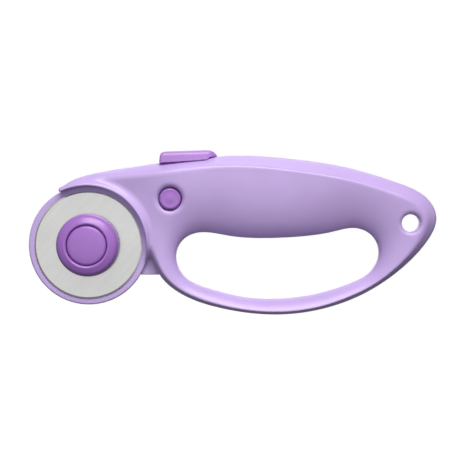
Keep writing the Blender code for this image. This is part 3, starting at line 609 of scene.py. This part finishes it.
def moulded(name, field, low, high, step, body, slot, material, *nodes):
    """A piece whose surface is a field's: its points are drawn onto it and take their normals from it."""
    points, quads = surface_of(field, np.array(low, float), np.array(high, float), step)
    for _ in range(2):
        slope = gradient(field, points)
        steepness = np.maximum((slope**2).sum(1), 0.2)
        move = -(field(*points.T) / steepness)[:, None] * slope
        points = points + np.clip(move, -0.3 * step, 0.3 * step)
    piece = new_piece(name, points, quads, body, material, nodes)
    out = -gradient(field, points)
    out /= np.maximum(np.linalg.norm(out, axis=1), 1e-6)[:, None]
    piece.data.normals_split_custom_set_from_vertices(out[:, [0, 2, 1]] * [1, -1, 1])
    return piece


# ---------------------------------------------------------------- turned pieces

def rounded(corners, steps=5):
    """A profile through corners given as (radius, height, fillet), each fillet drawn as an arc-like curve."""
    path = []
    for i, (r, h, fillet) in enumerate(corners):
        here = np.array([r, h])
        if fillet == 0 or i in (0, len(corners) - 1):
            path.append(here)
            continue
        before, after = (np.array(corners[j][:2]) - here for j in (i - 1, i + 1))
        start = here + before / np.linalg.norm(before) * fillet
        end = here + after / np.linalg.norm(after) * fillet
        for t in np.linspace(0, 1, steps + 1):
            path.append((1 - t) ** 2 * start + 2 * t * (1 - t) * here + t**2 * end)
    return np.array(path)


def turned(name, profile, centre, body, slot, material, *nodes, segments=96, closed=False, sharp=40):
    """A piece turned about an axis along Y. The profile runs from the front, down the outer side."""
    profile = np.array(profile, float)
    rings, points, faces = [], [], []
    for radius, height in profile:
        if radius < 1e-6:
            rings.append([len(points)] * segments)
            points.append((centre[0], centre[1], height))
        else:
            rings.append(list(range(len(points), len(points) + segments)))
            turn = np.linspace(0, math.tau, segments, endpoint=False)
            ring = [(radius * math.cos(t), radius * math.sin(t)) for t in turn]
            points += [(centre[0] + across, centre[1] + up, height) for across, up in ring]
    pairs = list(zip(rings, rings[1:])) + ([(rings[-1], rings[0])] if closed else [])
    for upper, lower in pairs:
        for j in range(segments):
            k = (j + 1) % segments
            corners = [upper[j], upper[k], lower[k], lower[j]]
            faces.append(list(dict.fromkeys(corners)))
    piece = new_piece(name, np.array(points), faces, body, material, nodes)
    piece.data.set_sharp_from_angle(angle=math.radians(sharp))
    return piece


# ---------------------------------------------------------------- materials

class Nodes:
    """A small helper that adds nodes to a tree and links them by name."""

    def __init__(self, tree):
        self.tree = tree

    def add(self, kind, settings=None, **inputs):
        node = self.tree.nodes.new(kind)
        for key, value in (settings or {}).items():
            setattr(node, key, value)
        for key, value in inputs.items():
            self.set(node, key.replace("_", " "), value)
        return node

    def set(self, node, socket, value):
        target = node.inputs[int(socket)] if socket.isdigit() else node.inputs[socket]
        if isinstance(value, bpy.types.NodeSocket):
            self.tree.links.new(value, target)
        elif target.type == "RGBA":
            target.default_value = (*value, 1)
        else:
            target.default_value = value

    def math(self, operation, *values, clamp=False):
        settings = {"operation": operation, "use_clamp": clamp}
        return self.add("ShaderNodeMath", settings, **{str(i): v for i, v in enumerate(values)}).outputs[0]

    def blend(self, share, first, second):
        """A mix of two colours."""
        mix = self.add("ShaderNodeMix", {"data_type": "RGBA"}, **{"0": share, "6": first, "7": second})
        return mix.outputs[2]

    def by_ray(self, kind, others, own):
        """One colour for rays of one kind and another for the rest."""
        return self.blend(self.add("ShaderNodeLightPath").outputs[kind], others, own)


class Shader(Nodes):
    """A new material and its nodes."""

    def __init__(self, name):
        self.material = bpy.data.materials.new(name)
        self.material.use_nodes = True
        super().__init__(self.material.node_tree)
        self.surface = self.tree.nodes["Principled BSDF"]

    def finish(self, **inputs):
        for key, value in inputs.items():
            self.set(self.surface, key.replace("_", " "), value)
        return self.material

    def position(self, scale=(1, 1, 1), turn=(0, 0, 0)):
        """The place on the piece, turned and then stretched."""
        place = self.add("ShaderNodeTexCoord").outputs["Object"]
        turned_place = self.add(
            "ShaderNodeVectorRotate", {"rotation_type": "EULER_XYZ"}, Vector=place, Rotation=turn
        ).outputs[0]
        stretch = {"0": turned_place, "1": scale}
        return self.add("ShaderNodeVectorMath", {"operation": "MULTIPLY"}, **stretch).outputs[0]

    def noise(self, place, scale, detail=3.0, roughness=0.55):
        return self.add(
            "ShaderNodeTexNoise", Vector=place, Scale=scale, Detail=detail, Roughness=roughness
        ).outputs["Fac"]

    def span(self, value, low, high, from_low=0.0, from_high=1.0):
        """A value carried from one range to another."""
        return self.add(
            "ShaderNodeMapRange", Value=value, From_Min=from_low, From_Max=from_high, To_Min=low, To_Max=high
        ).outputs["Result"]

    def bump(self, height, distance, strength):
        return self.add("ShaderNodeBump", Height=height, Distance=distance, Strength=strength).outputs["Normal"]


def moulded_plastic(name, colour, roughness):
    """Satin plastic: faint flow marks in the colour, fine moulded grain, a few handling scuffs."""
    shader = Shader(name)
    place = shader.position()
    flow = shader.span(shader.noise(place, scale=38.0), 0, 1, 0.3, 0.7)
    grain = shader.noise(place, scale=2600.0, detail=1.0)
    darker = tuple(c * 0.94 for c in colour)
    lighter = tuple(min(c * 1.05, 1) for c in colour)
    pale = tuple(c + (1 - c) * 0.25 for c in colour)
    streaks = shader.noise(shader.position(scale=(60, 60, 1400), turn=(0.3, 0.9, 0.5)), scale=1.0, detail=4.0)
    scuffs = shader.span(streaks, 0, 1, 0.68, 0.82)
    base = shader.blend(flow, darker, lighter)
    uneven = shader.span(shader.noise(place, scale=120.0), roughness - 0.05, roughness + 0.05)
    return shader.finish(
        Base_Color=shader.blend(shader.span(scuffs, 0, 0.25), base, pale),
        Roughness=shader.math("MULTIPLY_ADD", scuffs, 0.12, uneven),
        Specular_IOR_Level=0.5,
        Normal=shader.bump(grain, distance=0.000012, strength=0.15),
    )


def ground_steel(name, colour, roughness, scale, turn=(0, 0, 0)):
    """Steel with straight or even grinding marks, slightly cloudy."""
    shader = Shader(name)
    marks = shader.noise(shader.position(scale, turn), scale=1.0, detail=3.0, roughness=0.6)
    cloud = shader.noise(shader.position(), scale=70.0)
    mixed = shader.math("ADD", marks, shader.math("MULTIPLY_ADD", cloud, 1.0, -0.5), clamp=True)
    darker = tuple(c * 0.88 for c in colour)
    lighter = tuple(min(c * 1.06, 1) for c in colour)
    return shader.finish(
        Base_Color=shader.blend(mixed, darker, lighter),
        Metallic=1.0,
        Roughness=shader.span(mixed, roughness - 0.03, roughness + 0.03),
    )


lilac = moulded_plastic("lilac_plastic", (0.60, 0.45, 0.80), 0.33)
purple = moulded_plastic("purple_plastic", (0.40, 0.18, 0.585), 0.30)
# A lighter copy of the control purple for the thumb slide: painted light, standing in for the top light and
# sheen that fall on it
slide_purple_painted_light = moulded_plastic("slide_plastic_painted_light", (0.48, 0.25, 0.66), 0.30)
blade_steel = ground_steel(
    "blade_steel", (0.565, 0.565, 0.56), 0.27, scale=(36, 36, 620), turn=(0, math.radians(48), 0)
)
turned_steel = ground_steel("turned_steel", (0.66, 0.66, 0.67), 0.30, scale=(900, 5200, 900))
dark_steel = ground_steel("dark_steel", (0.42, 0.42, 0.44), 0.40, scale=(1500, 1500, 1500))


# ---------------------------------------------------------------- pieces

SHELL_STEP = 0.42
GUARD_STEP = 0.34
SLIDE_STEP = 0.22
HANDLE_LOW, HANDLE_HIGH = (-14.5, -31), (148.5, 39.6)  # x and z of the shell grids' corners
FRONT_ROOM, REAR_ROOM, PARTING_ROOM = 12, 10.8, 0.6  # how far they reach from the parting plane
moulded(
    "shell_front_moulding", front_shell, (*HANDLE_LOW, -PARTING_ROOM), (*HANDLE_HIGH, FRONT_ROOM), SHELL_STEP,
    "handle", "handle_plastic", lilac, "handle_shell_front",
)
moulded(
    "shell_rear_moulding", rear_shell, (*HANDLE_LOW, -REAR_ROOM), (*HANDLE_HIGH, PARTING_ROOM), SHELL_STEP,
    "handle", "handle_plastic", lilac, "handle_shell_rear",
)
moulded(
    "guard_moulding", guard, (-26, -26, -1.5), (53.5, 38.6, 1.5), GUARD_STEP,
    "guard", "handle_plastic", lilac, "blade_guard",
)
# The thumb slide uses the lighter, painted-light copy of the control purple
moulded(
    "thumb_slide_moulding", thumb_slide, (29, 33, -8), (56, 41, 8), SLIDE_STEP,
    "guard", "control_plastic", slide_purple_painted_light, "thumb_slide",
)

BLADE_BORE = 4.0
BEVEL = 0.55
blade_edge = (BLADE_RADIUS, (BLADE_FRONT + BLADE_REAR) / 2)
blade_profile = [
    (BLADE_BORE, BLADE_FRONT), (BLADE_RADIUS - BEVEL, BLADE_FRONT), blade_edge,
    (BLADE_RADIUS - BEVEL, BLADE_REAR), (BLADE_BORE, BLADE_REAR),
]
turned(
    "blade_disc", blade_profile, (0, 0), "wheel", "blade_steel", blade_steel, "cutting_blade",
    segments=256, closed=True, sharp=5,
)

rim = KNOB_RADIUS + 0.2
knob_profile = rounded([
    (8.5, 2.8, 0), (8.5, 8.4, 0.3), (9.2, 9.0, 0.45), (12.4, 7.5, 1.3), (rim, 4.6, 1.4), (rim, 2.2, 0.4),
    (12.5, 1.7, 0.3), (4.4, 1.7, 0), (4.4, 2.8, 0), (8.5, 2.8, 0),
])[:-1]
turned(
    "knob_moulding", knob_profile, (0, 0), "wheel", "control_plastic", purple, "blade_knob",
    segments=160, closed=True,
)

button_profile = rounded([
    (0, 9.3, 0), (3.0, 9.24, 1.0), (6.0, 9.0, 1.2), (7.9, 8.6, 0.7), (8.25, 7.8, 0.4), (8.25, 7.5, 0.1),
    (6.0, 7.5, 0), (6.0, 4.4, 0), (4.6, 4.4, 0), (4.6, 5.6, 0), (5.3, 5.9, 0), (5.3, 8.1, 0), (0, 8.1, 0),
])
turned(
    "button_moulding", button_profile, (0, 0), "release", "control_plastic", purple, "release_button",
    segments=128,
)

lock_low, lock_high = box_mm("lock_button")
lock_front, lock_back = PLANE_Y - lock_low[1], PLANE_Y - lock_high[1]
lock_profile = rounded([
    (0, lock_front - 0.1, 0), (2.5, lock_front - 0.65, 1.2), (3.9, lock_front - 0.35, 0.6),
    (4.5, lock_front - 1.1, 0.4),
    (4.5, 5.6, 0.1), (3.5, 5.6, 0), (3.5, 1.45, 0.1), (2.0, 1.45, 0), (2.0, lock_back + 2.2, 0),
    (4.5, lock_back + 2.2, 0.2), (4.5, lock_back + 0.6, 0.5), (3.9, lock_back, 0.5), (0, lock_back, 0),
])
turned("lock_moulding", lock_profile, (LOCK_X, LOCK_Z), "lock", "control_plastic", purple, "lock_button")

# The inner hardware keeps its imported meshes
TURNED_NODES = [
    "axle_pin", "blade_washer", "slide_detent_spring", "lock_detent_clip", "knob_bush",
    "latch_ball_1", "latch_ball_2", "latch_ball_3", "release_spring",
]
SCREW_NODES = [f"casing_screw_{i}" for i in range(1, 6)]
for node_names, finish in ((TURNED_NODES, turned_steel), (SCREW_NODES, dark_steel)):
    for node_name in node_names:
        node = frame["nodes"][node_name]
        node.data.materials.clear()
        node.data.materials.append(finish)


# ---------------------------------------------------------------- studio

low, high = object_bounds()
middle = (low + high) / 2
aim = Vector((middle.x, PLANE_Y * MM, middle.z))


def link(name, data):
    obj = bpy.data.objects.new(name, data)
    bpy.context.scene.collection.objects.link(obj)
    return obj


def point_at(obj, target):
    obj.rotation_euler = (target - obj.location).to_track_quat("-Z", "Y").to_euler()


def add_panel(name, elevation, azimuth, distance, size, power, colour=(1.0, 1.0, 1.0)):
    """A soft panel, aimed at the object, at an elevation and an azimuth to the right of the camera."""
    light = bpy.data.lights.new(name, "AREA")
    light.shape = "RECTANGLE"
    light.size, light.size_y = size
    light.energy = power
    light.color = colour
    lamp = link(name, light)
    up, around = math.radians(elevation), math.radians(azimuth)
    away = Vector((math.sin(around) * math.cos(up), -math.cos(around) * math.cos(up), math.sin(up)))
    lamp.location = aim + away * distance
    point_at(lamp, aim)


WARM = (1.0, 0.985, 0.93)
add_panel("key_panel", elevation=50, azimuth=9, distance=0.9, size=(0.7, 0.4), power=8.1, colour=WARM)
add_panel("fill_panel", elevation=6, azimuth=0, distance=1.0, size=(1.3, 1.0), power=3.6)
add_panel("back_panel", elevation=56, azimuth=180, distance=1.0, size=(0.9, 0.6), power=2.0)
add_panel("rear_fill_panel", elevation=6, azimuth=180, distance=1.0, size=(1.2, 0.8), power=4.0)

# The room is white to the camera, softly grey in reflections and nearly dark otherwise
WHITE = (1.0, 1.0, 1.0)
BLACK = (0.0, 0.0, 0.0)
AMBIENT = (0.035, 0.006, 0.16)
MIRRORED_ROOM = (0.36, 0.36, 0.36)
MIRRORED_FLOOR = (0.22, 0.22, 0.22)

world = bpy.data.worlds.new("studio")
world.use_nodes = True
bpy.context.scene.world = world
room = Nodes(world.node_tree)
room_colour = room.by_ray("Is Glossy Ray", others=AMBIENT, own=MIRRORED_ROOM)
room_colour = room.by_ray("Is Camera Ray", others=room_colour, own=WHITE)
room.set(room.tree.nodes["Background"], "Color", room_colour)

FLOOR_GAP = 0.35  # how far the floor is below the cutter
FLOOR_HALF = 6.0
floor_z = low.z - FLOOR_GAP
floor_corners = [(x * FLOOR_HALF, y * FLOOR_HALF, floor_z) for x, y in ((-1, -1), (1, -1), (1, 1), (-1, 1))]
floor_mesh = bpy.data.meshes.new("floor")
floor_mesh.from_pydata(floor_corners, [], [(0, 1, 2, 3)])
link("floor", floor_mesh)
floor_shader = Shader("pale_floor")
glow = floor_shader.by_ray("Is Glossy Ray", others=BLACK, own=MIRRORED_FLOOR)
glow = floor_shader.by_ray("Is Camera Ray", others=glow, own=WHITE)
pale_floor = floor_shader.finish(
    Base_Color=(0.03, 0.03, 0.03), Roughness=0.9, Emission_Color=glow, Emission_Strength=1.0
)
floor_mesh.materials.append(pale_floor)

CAMERA_DISTANCE = 0.475
CAMERA_RISE = 0.0143
LENS, SENSOR = 87.3, 36
camera_data = bpy.data.cameras.new("camera")
camera_data.lens, camera_data.sensor_width = LENS, SENSOR
camera_data.clip_start, camera_data.clip_end = 0.01, 20
camera = link("camera", camera_data)
camera.location = aim + Vector((0, -CAMERA_DISTANCE, CAMERA_RISE))
point_at(camera, aim)
bpy.context.scene.camera = camera
bpy.context.scene.view_settings.view_transform = "Standard"
